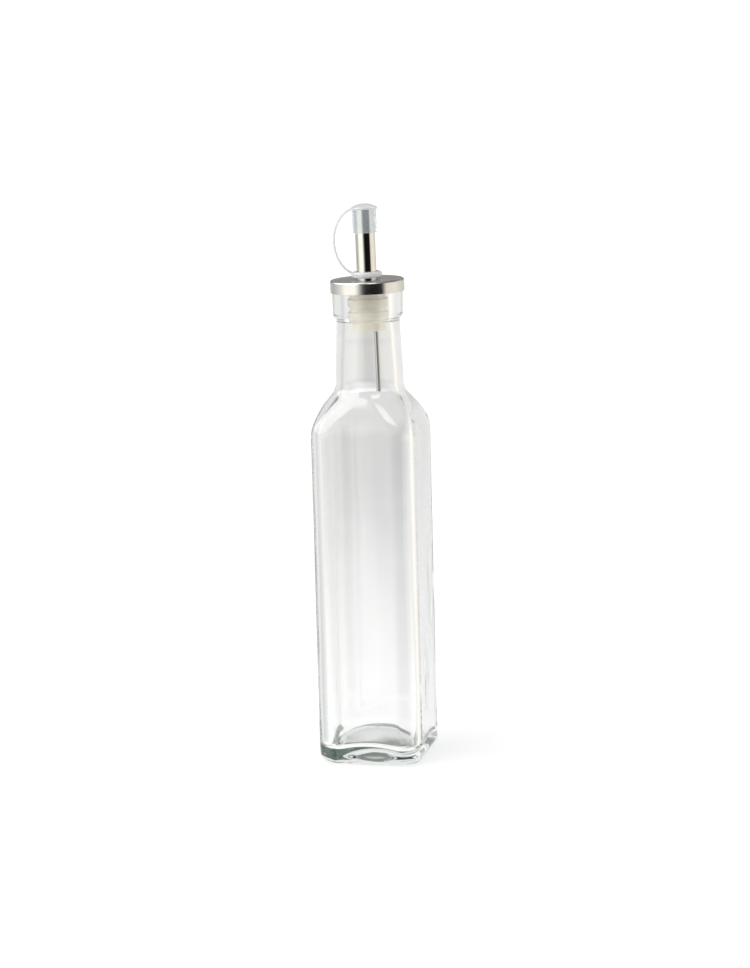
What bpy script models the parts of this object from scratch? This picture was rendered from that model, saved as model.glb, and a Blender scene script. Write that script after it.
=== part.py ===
"""Square glass oil bottle with a steel pourer, in metres, +Z up, origin at the middle of the foot."""
from math import acos, asin, atan2, cos, dist, pi, radians, sin

import bmesh
import bpy
import numpy as np

MM = 0.001

# Glass body: a square with rounded corners
BODY_WIDTH = 47.0 * MM
CORNER_RADIUS = 8.2 * MM
HEEL_RADIUS = 4.5 * MM
SHOULDER_START = 147.0 * MM
SHOULDER_RADIUS = 26.5 * MM
NECK_FILLET = 9.0 * MM
WALL = 3.0 * MM
INNER_CORNER_RADIUS = 7.0 * MM

# Glass neck and the thick ring round its mouth
NECK_FOOT_RADIUS = 15.0 * MM
NECK_TOP_RADIUS = 14.0 * MM
NECK_WALL = 3.7 * MM
FINISH_FOOT = 198.6 * MM
FINISH_FOOT_RADIUS = 15.35 * MM
FINISH_TOP_RADIUS = 15.75 * MM
FINISH_UNDERCUT = 1.6 * MM
GLASS_HEIGHT = 214.5 * MM
LIP_RADIUS = 1.0 * MM
MOUTH_RADIUS = 9.6 * MM
MOUTH_DEPTH = 17.0 * MM
MOUTH_FLARE = 8.0 * MM

# Foot: a flat ring to stand on, hollowed below and domed inside
PUSH_UP = 3.6 * MM
BEARING_WIDTH = 2.2 * MM
HEEL_CORNER_RADIUS = 6.4 * MM
FLOOR_EDGE = 6.5 * MM
FLOOR_CROWN = 9.5 * MM
FLOOR_FILLET = 5.0 * MM
FLOOR_FILLET_TURN = radians(75)
FLOOR_CORNER_RADIUS = 5.8 * MM
FLOOR_DOME = 4.0 * MM

# Pourer: it leans a little in the mouth, towards its strap
STRAP_AZIMUTH = radians(13.5)
POURER_LEAN = radians(1.0)
PIVOT_HEIGHT = 213.0 * MM
GAP = 0.3 * MM

# Steel collar, its heights from the pivot
COLLAR_RADIUS = 16.4 * MM
COLLAR_TOP = 2.5 * MM
COLLAR_SKIRT = 5.5 * MM
COLLAR_SHEET = 0.35 * MM
COLLAR_EDGE = 1.0 * MM

# Spout and vent tube
SPOUT_RADIUS = 4.4 * MM
SPOUT_SHEET = 0.35 * MM
SPOUT_FOOT = -11.0 * MM
SPOUT_TOP = 33.4 * MM
VENT_RADIUS = 1.0 * MM
VENT_BORE = 0.6 * MM
VENT_OFFSET = 3.1 * MM
VENT_FOOT = -47.9 * MM
VENT_TOP = -13.0 * MM

# Stopper: ribs that press on the glass, and a narrower nose below
RIB_RADIUS = 8.95 * MM
GROOVE_RADIUS = 7.9 * MM
NOSE_RADIUS = 7.15 * MM
STOPPER_TOP = 1.8 * MM
RIB_LEVELS = ((-2.8 * MM, STOPPER_TOP), (-9.0 * MM, -5.4 * MM), (-14.0 * MM, -11.2 * MM))
NOSE_FOOT = -20.0 * MM
RIB_EDGE = 0.35 * MM
NOSE_EDGE = 1.0 * MM
NOSE_SHOULDER = 1.6 * MM

# Spout cap with its strap and ring, moulded in one
CAP_FOOT = 22.9 * MM
CAP_FOOT_RADIUS = 5.25 * MM
CAP_TOP_RADIUS = 5.4 * MM
CAP_BRIM_RADIUS = 5.85 * MM
CAP_BRIM = 33.9 * MM
CAP_BRIM_THICKNESS = 0.7 * MM
CAP_DOME = 1.7 * MM
CAP_CEILING = 0.35 * MM
RING_RADIUS = 6.75 * MM
RING_FOOT = 3.2 * MM
RING_HEIGHT = 2.6 * MM
RING_EDGE = 1.0 * MM
STRAP_WIDTH = 3.0 * MM
STRAP_THICKNESS = 0.9 * MM
STRAP_EDGE = 0.27 * MM
STRAP_CENTRE = -2.8 * MM
STRAP_REACH = 10.9 * MM
STRAP_ROOT = -5.2 * MM
STRAP_STEPS = 20

# Where the rings of the hollow stand, as shares of its half width
HOLLOW_SHARES = (0.12, 0.4, 0.68, 0.9, 1.0)
HOLLOW_RINGS = len(HOLLOW_SHARES)

# Faces round each piece
BODY_SIDES = 48
COLLAR_SIDES = 48
STOPPER_SIDES = 36
CAP_SIDES = 32
SPOUT_SIDES = 32
VENT_SIDES = 12

# How round and smooth the pieces are shaded
SHARP_EDGE = radians(32)
GLASS_SHARP_EDGE = radians(40)
SAME_POINT = 1e-7


def material(name, colour, roughness, metallic, transmission=0.0):
    """A Principled material."""
    made = bpy.data.materials.new(name)
    made.use_nodes = True
    shader = made.node_tree.nodes["Principled BSDF"]
    shader.inputs["Base Color"].default_value = (*colour, 1.0)
    shader.inputs["Roughness"].default_value = roughness
    shader.inputs["Metallic"].default_value = metallic
    shader.inputs["Transmission Weight"].default_value = transmission
    return made


def add_object(name, bm, finish, sharp_angle=SHARP_EDGE):
    """Puts a bmesh into the scene as one smooth-shaded object."""
    bmesh.ops.recalc_face_normals(bm, faces=bm.faces)
    mesh = bpy.data.meshes.new(name)
    bm.to_mesh(mesh)
    bm.free()
    mesh.shade_smooth()
    mesh.set_sharp_from_angle(angle=sharp_angle)
    mesh.materials.append(finish)
    made = bpy.data.objects.new(name, mesh)
    bpy.context.collection.objects.link(made)
    return made


def arc(centre, radius, start, end, count):
    """Points of a circular arc from angle start to angle end, in (radius, height)."""
    angles = np.linspace(start, end, count)
    return [(centre[0] + radius * cos(a), centre[1] + radius * sin(a)) for a in angles]


def joined(*runs):
    """Runs of points in one list, without those that repeat the point before."""
    points = []
    for run in runs:
        for point in run:
            if not points or dist(point, points[-1]) > SAME_POINT:
                points.append(point)
    return points


def skin(bm, rows):
    """Faces between each ring of points and the next, and one over each end."""
    sides = len(rows[0])
    for low, high in zip(rows, rows[1:]):
        for i in range(sides):
            k = (i + 1) % sides
            bm.faces.new((low[i], low[k], high[k], high[i]))
    bm.faces.new(list(reversed(rows[0])))
    bm.faces.new(rows[-1])


def turned(name, profile, sides, finish):
    """A closed profile of (radius, height) points turned once round the upright axis."""
    bm = bmesh.new()
    verts = [bm.verts.new((r, 0.0, z)) for r, z in profile]
    edges = [bm.edges.new((verts[i], verts[(i + 1) % len(verts)])) for i in range(len(verts))]
    bmesh.ops.spin(bm, geom=verts + edges, cent=(0, 0, 0), axis=(0, 0, 1), angle=2 * pi, steps=sides,
                   use_merge=True)
    bmesh.ops.remove_doubles(bm, verts=bm.verts, dist=SAME_POINT)
    return add_object(name, bm, finish)


def rounded_square(half_width, corner, height):
    """A ring of points: a square of this half width with corners of this radius, a circle where both are equal."""
    angles = (np.arange(BODY_SIDES) + 0.5) * 2 * pi / BODY_SIDES
    run = half_width - corner
    x = run * np.sign(np.cos(angles)) + corner * np.cos(angles)
    y = run * np.sign(np.sin(angles)) + corner * np.sin(angles)
    return np.column_stack([x, y, np.full(BODY_SIDES, height)])


def between(first, second, share):
    """The value that lies this share of the way from first to second."""
    return first + (second - first) * share


def smooth(value, low, high):
    """0 below low, 1 above high, and an S curve between."""
    t = min(max((value - low) / (high - low), 0.0), 1.0)
    return t * t * (3 - 2 * t)


def shoulder_profile(offset):
    """The shoulder's curve, moved inwards by an offset, as (half width, height): out of the wall, into the neck."""
    half = BODY_WIDTH / 2
    reach = SHOULDER_RADIUS + NECK_FILLET
    turn = acos(1 - (half - NECK_FOOT_RADIUS) / reach)
    convex = arc((half - SHOULDER_RADIUS, SHOULDER_START), SHOULDER_RADIUS - offset, 0, turn, 10)
    centre = (NECK_FOOT_RADIUS + NECK_FILLET, SHOULDER_START + reach * sin(turn))
    concave = arc(centre, NECK_FILLET + offset, pi + turn, pi, 7)
    return convex + concave[1:]


def outer_rings():
    """The outside of the glass from the foot's middle up to the lip."""
    half = BODY_WIDTH / 2
    bearing = half - HEEL_RADIUS
    inside = bearing - BEARING_WIDTH
    rings = []
    for share in HOLLOW_SHARES:
        rings.append((share * inside, between(share * inside, HEEL_CORNER_RADIUS, share * share), 0.0))
    for width, height in arc((bearing, HEEL_RADIUS), HEEL_RADIUS, -pi / 2, 0, 7):
        share = (width - bearing) / HEEL_RADIUS
        rings.append((width, between(HEEL_CORNER_RADIUS, CORNER_RADIUS, share), height))
    middle = (HEEL_RADIUS + SHOULDER_START) / 2
    rings.append((half, CORNER_RADIUS, middle))
    shoulder = shoulder_profile(0.0)
    neck_foot = shoulder[-1][1]
    for width, height in shoulder:
        roundness = smooth(height, SHOULDER_START, neck_foot)
        rings.append((width, between(CORNER_RADIUS, width, roundness), height))
    for share in (0.33, 0.66, 1.0):
        radius = between(NECK_FOOT_RADIUS, NECK_TOP_RADIUS, share)
        rings.append((radius, radius, between(neck_foot, FINISH_FOOT, share)))
    step = FINISH_FOOT_RADIUS - NECK_TOP_RADIUS
    for angle in (radians(30), radians(60), radians(90)):
        radius = NECK_TOP_RADIUS + step * sin(angle)
        rings.append((radius, radius, FINISH_FOOT + FINISH_UNDERCUT * (1 - cos(angle))))
    for radius, height in arc((FINISH_TOP_RADIUS - LIP_RADIUS, GLASS_HEIGHT - LIP_RADIUS), LIP_RADIUS, 0, pi / 2, 5):
        rings.append((radius, radius, height))
    return rings


def inner_rings():
    """The inside of the glass from the lip down to the middle of the floor."""
    rings = []
    for radius, height in arc((MOUTH_RADIUS + LIP_RADIUS, GLASS_HEIGHT - LIP_RADIUS), LIP_RADIUS, pi / 2, pi, 5):
        rings.append((radius, radius, height))
    mouth_foot = GLASS_HEIGHT - MOUTH_DEPTH
    neck = NECK_TOP_RADIUS - NECK_WALL
    for share in (0.0, 0.35, 0.7, 1.0):
        radius = between(MOUTH_RADIUS, neck, smooth(share, 0.0, 1.0))
        rings.append((radius, radius, mouth_foot - share * MOUTH_FLARE))
    shoulder = shoulder_profile(NECK_WALL)
    body = shoulder_profile(WALL)
    top = shoulder[-1][1]
    for (neck_width, neck_height), (width, height) in zip(reversed(shoulder), reversed(body)):
        share = smooth(height, SHOULDER_START, top)
        half = between(width, neck_width, share)
        rings.append((half, between(INNER_CORNER_RADIUS, half, share), between(height, neck_height, share)))
    half = BODY_WIDTH / 2 - WALL
    rings.append((half, INNER_CORNER_RADIUS, (FLOOR_EDGE + FLOOR_FILLET + SHOULDER_START) / 2))
    centre = (half - FLOOR_FILLET, FLOOR_EDGE + FLOOR_FILLET)
    for width, height in arc(centre, FLOOR_FILLET, 0, -FLOOR_FILLET_TURN, 6):
        share = (half - width) / FLOOR_FILLET
        rings.append((width, between(INNER_CORNER_RADIUS, FLOOR_CORNER_RADIUS, share), height))
    edge, corner, low = rings[-1]
    for share in (0.8, 0.55, 0.3, 0.1):
        height = between(FLOOR_CROWN, low, share * share)
        rings.append((share * edge, between(share * edge, corner, share * share), height))
    return rings


def round_hollow(points):
    """The ring's heights made a round dome's, which meets the foot's plane at the middle of each side."""
    reach = BODY_WIDTH / 2 - HEEL_RADIUS - BEARING_WIDTH
    share = np.minimum((points[:, 0] ** 2 + points[:, 1] ** 2) / reach ** 2, 1.0)
    points[:, 2] = PUSH_UP * (1 - share)
    return points


def domed_floor(points):
    """The ring raised by the floor's dome, which falls with the squared distance and fades out up the wall."""
    half = BODY_WIDTH / 2 - WALL
    fade = 1 - smooth(points[0, 2], FLOOR_EDGE, FLOOR_EDGE + 3 * FLOOR_FILLET)
    share = (points[:, 0] ** 2 + points[:, 1] ** 2) / half ** 2
    points[:, 2] += FLOOR_DOME * (1 - share) * fade
    return points


def glass_bottle(finish):
    """One closed skin of rings, from the hollow under the foot over the lip to the floor inside."""
    bm = bmesh.new()
    outside = [rounded_square(*ring) for ring in outer_rings()]
    inside = [domed_floor(rounded_square(*ring)) for ring in inner_rings()]
    outside[:HOLLOW_RINGS] = [round_hollow(points) for points in outside[:HOLLOW_RINGS]]
    rows = [[bm.verts.new(point) for point in points] for points in outside + inside]
    skin(bm, rows)
    bmesh.ops.triangulate(bm, faces=bm.faces)
    return add_object("glass_bottle", bm, finish, GLASS_SHARP_EDGE)


def collar(finish):
    """A pressed dish over the mouth: a flat disc, a rounded edge and a skirt rolled in at its hem."""
    edge = (COLLAR_RADIUS - COLLAR_EDGE, COLLAR_TOP - COLLAR_EDGE)
    hole = SPOUT_RADIUS + GAP
    hem = COLLAR_TOP - COLLAR_SKIRT
    outside = arc(edge, COLLAR_EDGE, pi / 2, 0, 6)
    hem_centre = (COLLAR_RADIUS - COLLAR_SHEET / 2, hem + COLLAR_SHEET / 2)
    roll = arc(hem_centre, COLLAR_SHEET / 2, 0, -pi, 5)
    inside = arc(edge, COLLAR_EDGE - COLLAR_SHEET, 0, pi / 2, 5)
    profile = joined([(hole, COLLAR_TOP)], outside, roll, inside, [(hole, COLLAR_TOP - COLLAR_SHEET)])
    return turned("metal_collar", profile, COLLAR_SIDES, finish)


def stopper(finish):
    """A plug round the spout: ribs with rounded edges, grooves between them and a tapered nose."""
    bore = SPOUT_RADIUS + GAP
    points = [(bore, STOPPER_TOP)]
    for low, high in RIB_LEVELS:
        if high < STOPPER_TOP:
            points.append((GROOVE_RADIUS, high))
        points.append((RIB_RADIUS - RIB_EDGE, high))
        points.append((RIB_RADIUS, high - RIB_EDGE))
        points.append((RIB_RADIUS, low + RIB_EDGE))
        points.append((RIB_RADIUS - RIB_EDGE, low))
        points.append((GROOVE_RADIUS, low))
    nose_start = RIB_LEVELS[-1][0] - NOSE_SHOULDER
    points.append((NOSE_RADIUS, nose_start))
    nose = arc((NOSE_RADIUS - NOSE_EDGE, NOSE_FOOT + NOSE_EDGE), NOSE_EDGE, 0, -pi / 2, 5)
    return turned("stopper", joined(points, nose, [(bore, NOSE_FOOT)]), STOPPER_SIDES, finish)


def tube(name, radius, bore, foot, top, sides, finish):
    """A plain tube with square-cut ends."""
    profile = [(bore, top), (radius, top), (radius, foot), (bore, foot)]
    return turned(name, profile, sides, finish)


def cap_shell(finish):
    """The cap itself: a cup upside down over the spout, with a thin brim under a low dome."""
    dome_radius = (CAP_BRIM_RADIUS ** 2 + CAP_DOME ** 2) / (2 * CAP_DOME)
    reach = asin(CAP_BRIM_RADIUS / dome_radius)
    crown = CAP_BRIM + CAP_DOME
    dome = arc((0.0, crown - dome_radius), dome_radius, pi / 2, pi / 2 - reach, 7)
    inside = SPOUT_RADIUS + GAP
    ceiling = SPOUT_TOP + CAP_CEILING
    brim = CAP_BRIM - CAP_BRIM_THICKNESS
    wall = [(CAP_TOP_RADIUS, brim), (CAP_FOOT_RADIUS, CAP_FOOT + GAP), (CAP_FOOT_RADIUS - GAP, CAP_FOOT)]
    profile = joined(dome, [(CAP_BRIM_RADIUS, brim)], wall, [(inside, CAP_FOOT), (inside, ceiling), (0.0, ceiling)])
    return turned("spout_cap", profile, CAP_SIDES, finish)


def strap_ring(finish):
    """The ring round the spout's foot that the strap hangs from."""
    low = RING_FOOT
    high = RING_FOOT + RING_HEIGHT
    top = arc((RING_RADIUS - RING_EDGE, high - RING_EDGE), RING_EDGE, pi / 2, 0, 4)
    foot = arc((RING_RADIUS - RING_EDGE, low + RING_EDGE), RING_EDGE, 0, -pi / 2, 4)
    inside = SPOUT_RADIUS + GAP
    return turned("ring_shape", joined([(inside, high)], top, foot, [(inside, low)]), CAP_SIDES, finish)


def strap(finish):
    """A flat strip along half an ellipse, from the brim out and down to the ring."""
    low = RING_FOOT + RING_HEIGHT - STRAP_THICKNESS
    high = CAP_BRIM - CAP_BRIM_THICKNESS / 2
    first = acos((STRAP_ROOT - STRAP_CENTRE) / STRAP_REACH)
    rise = (high - low) / 2 / sin(first)
    middle = (low + high) / 2
    thick = STRAP_THICKNESS / 2
    wide = STRAP_WIDTH / 2
    flat = STRAP_THICKNESS / 2 - STRAP_EDGE
    broad = STRAP_WIDTH / 2 - STRAP_EDGE
    section = [(-thick, -broad), (-thick, broad), (-flat, wide), (flat, wide),
               (thick, broad), (thick, -broad), (flat, -wide), (-flat, -wide)]
    bm = bmesh.new()
    rows = []
    for i in range(STRAP_STEPS + 1):
        angle = first + (2 * pi - 2 * first) * i / STRAP_STEPS
        x = STRAP_CENTRE + STRAP_REACH * cos(angle)
        z = middle + rise * sin(angle)
        slope = atan2(rise * cos(angle), -STRAP_REACH * sin(angle))
        normal = (sin(slope), -cos(slope))
        rows.append([bm.verts.new((x + a * normal[0], b, z + a * normal[1])) for a, b in section])
    skin(bm, rows)
    return add_object("strap_shape", bm, finish)


def spout_cap(finish):
    """Cap, strap and ring fused into one moulding."""
    cap = cap_shell(finish)
    for shape in (strap(finish), strap_ring(finish)):
        shape.hide_render = True
        shape.display_type = 'WIRE'
        fuse = cap.modifiers.new("fuse_" + shape.name, 'BOOLEAN')
        fuse.operation = 'UNION'
        fuse.solver = 'EXACT'
        fuse.object = shape
        shape.parent = cap
    return cap


def main():
    """Clears the scene and makes the bottle and its pourer."""
    for old in list(bpy.data.objects):
        bpy.data.objects.remove(old, do_unlink=True)
    glass = material("soda_lime_glass", (0.86, 0.90, 0.88), 0.02, 0.0, 1.0)
    steel = material("stainless_steel", (0.60, 0.58, 0.55), 0.22, 1.0)
    plastic = material("clear_polyethylene", (0.88, 0.90, 0.90), 0.25, 0.0, 0.6)
    plug = material("natural_polyethylene", (0.82, 0.81, 0.76), 0.35, 0.0, 0.3)

    glass_bottle(glass)

    pourer = bpy.data.objects.new("pourer_axis", None)
    bpy.context.collection.objects.link(pourer)
    pourer.location = (0.0, 0.0, PIVOT_HEIGHT)
    pourer.rotation_euler = (0.0, -POURER_LEAN, STRAP_AZIMUTH)

    vent = tube("vent_tube", VENT_RADIUS, VENT_BORE, VENT_FOOT, VENT_TOP, VENT_SIDES, steel)
    vent.location = (VENT_OFFSET, 0.0, 0.0)
    spout = tube("spout_tube", SPOUT_RADIUS, SPOUT_RADIUS - SPOUT_SHEET, SPOUT_FOOT, SPOUT_TOP, SPOUT_SIDES, steel)
    for piece in (collar(steel), stopper(plug), spout, vent, spout_cap(plastic)):
        piece.parent = pourer


main()
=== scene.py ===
"""Looks of the square glass oil bottle and its steel pourer, laid out as an add-on and run as a script."""
from math import acos, cos, pi, radians, sin

import bpy
import numpy as np
from bpy.props import FloatProperty, IntProperty, PointerProperty, StringProperty
from mathutils import Matrix, Vector


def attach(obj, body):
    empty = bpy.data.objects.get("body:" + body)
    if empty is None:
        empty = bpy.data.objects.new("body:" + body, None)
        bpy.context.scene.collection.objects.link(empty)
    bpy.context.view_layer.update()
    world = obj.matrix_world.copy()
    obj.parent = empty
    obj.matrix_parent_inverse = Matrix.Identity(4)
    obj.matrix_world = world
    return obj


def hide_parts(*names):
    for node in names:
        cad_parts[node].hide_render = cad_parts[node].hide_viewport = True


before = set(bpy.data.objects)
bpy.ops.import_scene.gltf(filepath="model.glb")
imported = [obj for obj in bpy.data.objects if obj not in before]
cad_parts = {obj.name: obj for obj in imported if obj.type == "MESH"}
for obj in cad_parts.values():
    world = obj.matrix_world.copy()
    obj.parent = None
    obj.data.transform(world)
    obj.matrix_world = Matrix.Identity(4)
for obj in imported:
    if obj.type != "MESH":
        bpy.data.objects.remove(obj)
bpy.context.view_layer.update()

bl_info = {
    "name": "Square oil bottle with a steel pourer",
    "version": (1, 0, 0),
    "blender": (4, 5, 0),
    "location": "3D View > Sidebar > Oil bottle",
    "description": "Makes a square glass oil bottle, its steel pourer and a small white studio",
    "category": "Add Mesh",
}

MM = 0.001
HOLLOW_RINGS = 24
SAME_POINT = 1e-7

# Waves of the glass's inside: share of the whole, turns round, phase, and millimetres of height for a radian
WAVES = ((0.5, 2, 0.7, 31), (0.3, 3, -1.3, -23), (0.2, 5, 2.1, 17))
WAVE_FOOT = 30 * MM
WAVE_TOP = 185 * MM

# The stopper's parting line: half its width in degrees, and what it keeps from the bore's and nose's radius
PARTING_WIDTH = 1.3
PARTING_FADE = 0.2 * MM

# The collar's satin skirt: how many edge radii it reaches in from the rim, and how far up the rounded edge
SKIRT_REACH = 1.1
SKIRT_MARGIN = 0.4 * MM

# Steepest turn that is still shaded smooth
STOPPER_EDGE = radians(50)
FUSED_EDGE = radians(35)


def length(name, description, millimetres):
    """A length property whose default is given in millimetres."""
    return FloatProperty(
        name=name, description=description, default=millimetres * MM, unit='LENGTH', precision=5)


def angle(name, description, turn):
    """An angle property whose default is given in degrees."""
    return FloatProperty(name=name, description=description, default=radians(turn), subtype='ANGLE')


def number(name, description, value):
    """A plain number."""
    return FloatProperty(name=name, description=description, default=value, precision=4)


def count(name, description, value):
    """A whole number, three or more."""
    return IntProperty(name=name, description=description, default=value, min=3)


def tone(name, description, code):
    """A colour written as an sRGB hex value."""
    return StringProperty(name=name, description=description, default=code)


class GlassSettings(bpy.types.PropertyGroup):
    """Sizes and colours of the blown glass."""
    width: length("Width", "Across the flat sides", 47.0)
    corner: length("Corner", "Radius of the upright corners", 8.2)
    heel: length("Heel", "Radius where the sides turn under", 4.5)
    shoulder_start: length("Shoulder start", "Height where the sides begin to close", 147.0)
    shoulder_radius: length("Shoulder radius", "Radius of the shoulder's curve", 26.5)
    neck_fillet: length("Neck fillet", "Radius where the shoulder turns into the neck", 9.0)
    wall: length("Wall", "Thickness of the sides", 3.0)
    inner_corner: length("Inner corner", "Radius of the corners inside", 7.0)
    neck_foot_radius: length("Neck foot", "Radius at the foot of the neck", 15.0)
    neck_top_radius: length("Neck top", "Radius under the mouth's ring", 14.0)
    neck_wall: length("Neck wall", "Thickness of the neck", 3.7)
    ring_foot: length("Ring foot", "Height of the lower edge of the mouth's ring", 198.6)
    ring_foot_radius: length("Ring foot radius", "Radius of the ring at its lower edge", 15.35)
    ring_top_radius: length("Ring top radius", "Radius of the ring at the lip", 15.75)
    ring_undercut: length("Undercut", "Height of the curve under the ring", 1.6)
    height: length("Height", "From the foot to the lip", 214.5)
    lip: length("Lip", "Radius of the lip's edges", 1.0)
    mouth_radius: length("Mouth", "Radius of the mouth", 9.6)
    mouth_depth: length("Mouth depth", "Length of the straight mouth", 17.0)
    mouth_flare: length("Mouth flare", "Length over which the mouth widens into the neck", 8.0)
    push_up: length("Push-up", "Depth of the hollow under the foot", 3.6)
    bearing: length("Bearing", "Width of the rim the bottle stands on", 2.2)
    heel_corner: length("Heel corner", "Radius of the standing rim's corners", 6.4)
    floor_edge: length("Floor edge", "Lowest height of the floor inside", 6.5)
    floor_crown: length("Floor crown", "Height of the floor's middle", 9.5)
    floor_fillet: length("Floor fillet", "Radius between wall and floor inside", 5.0)
    floor_turn: angle("Floor turn", "How far the floor's fillet turns", 75.0)
    floor_corner: length("Floor corner", "Radius of the floor's corners", 5.8)
    floor_dome: length("Floor dome", "How much higher the floor's middle is drawn up in a round dome", 4.0)
    unevenness: length("Unevenness", "How far the inside wanders from an even wall", 0.22)
    sides: count("Sides", "Faces round the glass", 240)
    tint: tone("Tint", "Colour of thick glass", "#d2e0da")
    depth: number("Tint depth", "How strongly a metre of glass takes on its tint", 8.0)


class PourerSettings(bpy.types.PropertyGroup):
    """Sizes of the pourer, its heights from the pivot in the mouth."""
    azimuth: angle("Azimuth", "Which way the strap points", 13.5)
    lean: angle("Lean", "How far the pourer leans towards its strap", 1.0)
    pivot: length("Pivot", "Height of the point it leans about", 213.0)
    gap: length("Gap", "Room between pieces that touch", 0.3)
    collar_radius: length("Collar radius", "Outside of the collar", 16.4)
    collar_top: length("Collar top", "Height of the collar's flat top", 2.5)
    collar_skirt: length("Collar skirt", "Height of the collar's skirt", 5.5)
    collar_sheet: length("Collar sheet", "Thickness of the collar's steel", 0.35)
    collar_edge: length("Collar edge", "Radius of the collar's upper edge", 1.0)
    spout_radius: length("Spout radius", "Outside of the spout", 4.4)
    spout_sheet: length("Spout sheet", "Thickness of the spout's steel", 0.35)
    spout_foot: length("Spout foot", "Lower end of the spout", -11.0)
    spout_top: length("Spout top", "Upper end of the spout", 33.4)
    vent_radius: length("Vent radius", "Outside of the vent tube", 1.0)
    vent_bore: length("Vent bore", "Inside of the vent tube", 0.6)
    vent_offset: length("Vent offset", "From the axis to the vent tube", 3.1)
    vent_foot: length("Vent foot", "Lower end of the vent tube", -47.9)
    vent_top: length("Vent top", "Upper end of the vent tube", -13.0)
    sides: count("Sides", "Faces round the collar and the stopper, and a share of them round the rest", 192)


class StopperSettings(bpy.types.PropertyGroup):
    """Sizes and colour of the plastic plug, its heights from the pivot."""
    rib_radius: length("Rib radius", "Radius of the ribs", 8.95)
    groove_radius: length("Groove radius", "Radius between the ribs", 7.9)
    nose_radius: length("Nose radius", "Radius of the nose", 7.15)
    top: length("Top", "Upper end, under the collar", 1.8)
    upper_rib_foot: length("Upper rib foot", "Lower edge of the upper rib", -2.8)
    middle_rib_top: length("Middle rib top", "Upper edge of the middle rib", -5.4)
    middle_rib_foot: length("Middle rib foot", "Lower edge of the middle rib", -9.0)
    lower_rib_top: length("Lower rib top", "Upper edge of the lower rib", -11.2)
    lower_rib_foot: length("Lower rib foot", "Lower edge of the lower rib", -14.0)
    nose_foot: length("Nose foot", "Lower end of the nose", -20.0)
    rib_edge: length("Rib edge", "Radius of the ribs' edges", 0.35)
    nose_edge: length("Nose edge", "Radius of the nose's edge", 1.0)
    nose_shoulder: length("Nose shoulder", "Height of the slope down to the nose", 1.6)
    parting: length("Parting line", "How far the moulding's parting line stands out", 0.09)
    colour: tone("Colour", "Colour of the natural plastic", "#fcf8ec")


class CapSettings(bpy.types.PropertyGroup):
    """Sizes and colours of the soft cap, its strap and its ring, the heights from the pivot."""
    foot: length("Foot", "Lower edge of the cap", 22.9)
    foot_radius: length("Foot radius", "Radius at the lower edge", 5.25)
    top_radius: length("Top radius", "Radius under the brim", 5.4)
    brim_radius: length("Brim radius", "Radius of the brim", 5.85)
    brim: length("Brim", "Upper edge of the brim", 33.9)
    brim_thickness: length("Brim thickness", "Thickness of the brim", 0.7)
    dome: length("Dome", "Rise of the dome over the brim", 1.7)
    ceiling: length("Ceiling", "Room between the spout's end and the cap", 0.35)
    ring_radius: length("Ring radius", "Outside of the ring", 6.75)
    ring_foot: length("Ring foot", "Lower side of the ring", 3.2)
    ring_height: length("Ring height", "Height of the ring", 2.6)
    ring_edge: length("Ring edge", "Radius of the ring's edges", 1.0)
    strap_width: length("Strap width", "Width of the strap", 3.0)
    strap_thickness: length("Strap thickness", "Thickness of the strap", 0.9)
    strap_centre: length("Strap centre", "Centre of the strap's curve, from the axis", -2.8)
    strap_reach: length("Strap reach", "Half width of the strap's curve", 10.9)
    strap_root: length("Strap root", "Where the strap's middle meets cap and ring, from the axis", -5.2)
    colour: tone("Colour", "Colour of the soft plastic where it is thick", "#fbfcfc")
    thin_colour: tone("Wall colour", "Colour of the soft plastic in the cap's thin wall", "#f3f8fb")


class StageSettings(bpy.types.PropertyGroup):
    """Camera and studio."""
    azimuth: angle("Azimuth", "The camera's direction, from -Y towards +X", 13.46)
    distance: length("Distance", "From the bottle's axis to the camera, level", 1220.155)
    height: length("Height", "Height of the camera", 345.974)
    pitch: angle("Pitch", "How far the camera looks up", -10.324)
    yaw: angle("Yaw", "How far the camera looks aside", -0.053)
    roll: angle("Roll", "How far the picture is turned", 1.518)
    lens: length("Lens", "Focal length on a 36 mm film", 103.52)
    floor_size: length("Floor", "Width of the floor", 20000.0)
    ambient: number("Ambient", "Brightness of the white all round, as the floor sees it", 0.92)
    key: number("Key", "Strength of the key light on the floor", 1.15)
    softbox: number("Softbox", "Radiance of the softboxes as gloss shows them", 4.0)
    softbox_inside: number("Softbox inside", "Radiance of the softboxes, seen through clear pieces", 1.1)
    ceiling: number("Ceiling", "Brightness of the room above, as gloss shows it", 0.35)
    bounces: count("Bounces", "How often light may turn inside the glass", 48)


def settings():
    """The property groups, as the panel shows them."""
    scene = bpy.context.scene
    return scene.oil_glass, scene.oil_pourer, scene.oil_stopper, scene.oil_cap, scene.oil_stage


def linear(code, level=1.0):
    """An sRGB hex value as linear colour, times a level."""
    channels = np.array([int(code[i:i + 2], 16) for i in (1, 3, 5)]) / 255
    low = channels / 12.92
    high = ((channels + 0.055) / 1.055) ** 2.4
    return (*(float(v) * level for v in np.where(channels <= 0.04045, low, high)), 1.0)


# Shapes: profiles are arrays of (radius, height), grids are arrays of (row, side, xyz)

def arc(centre, radius, start, end, points):
    """A circle's arc: the centre plus the radius times the cosine and sine of even angles."""
    angles = np.linspace(start, end, points)
    return np.column_stack([centre[0] + radius * np.cos(angles), centre[1] + radius * np.sin(angles)])


def line(start, end, inner=0, margin=0.06 * MM):
    """A straight run with a point close to each end, which keeps the shading of its edges narrow."""
    start, end = np.array(start, float), np.array(end, float)
    share = min(margin / np.linalg.norm(end - start), 0.3)
    shares = np.concatenate([[0, share], np.linspace(share, 1 - share, inner + 2)[1:-1], [1 - share, 1]])
    return start + (end - start) * shares[:, None]


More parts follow.
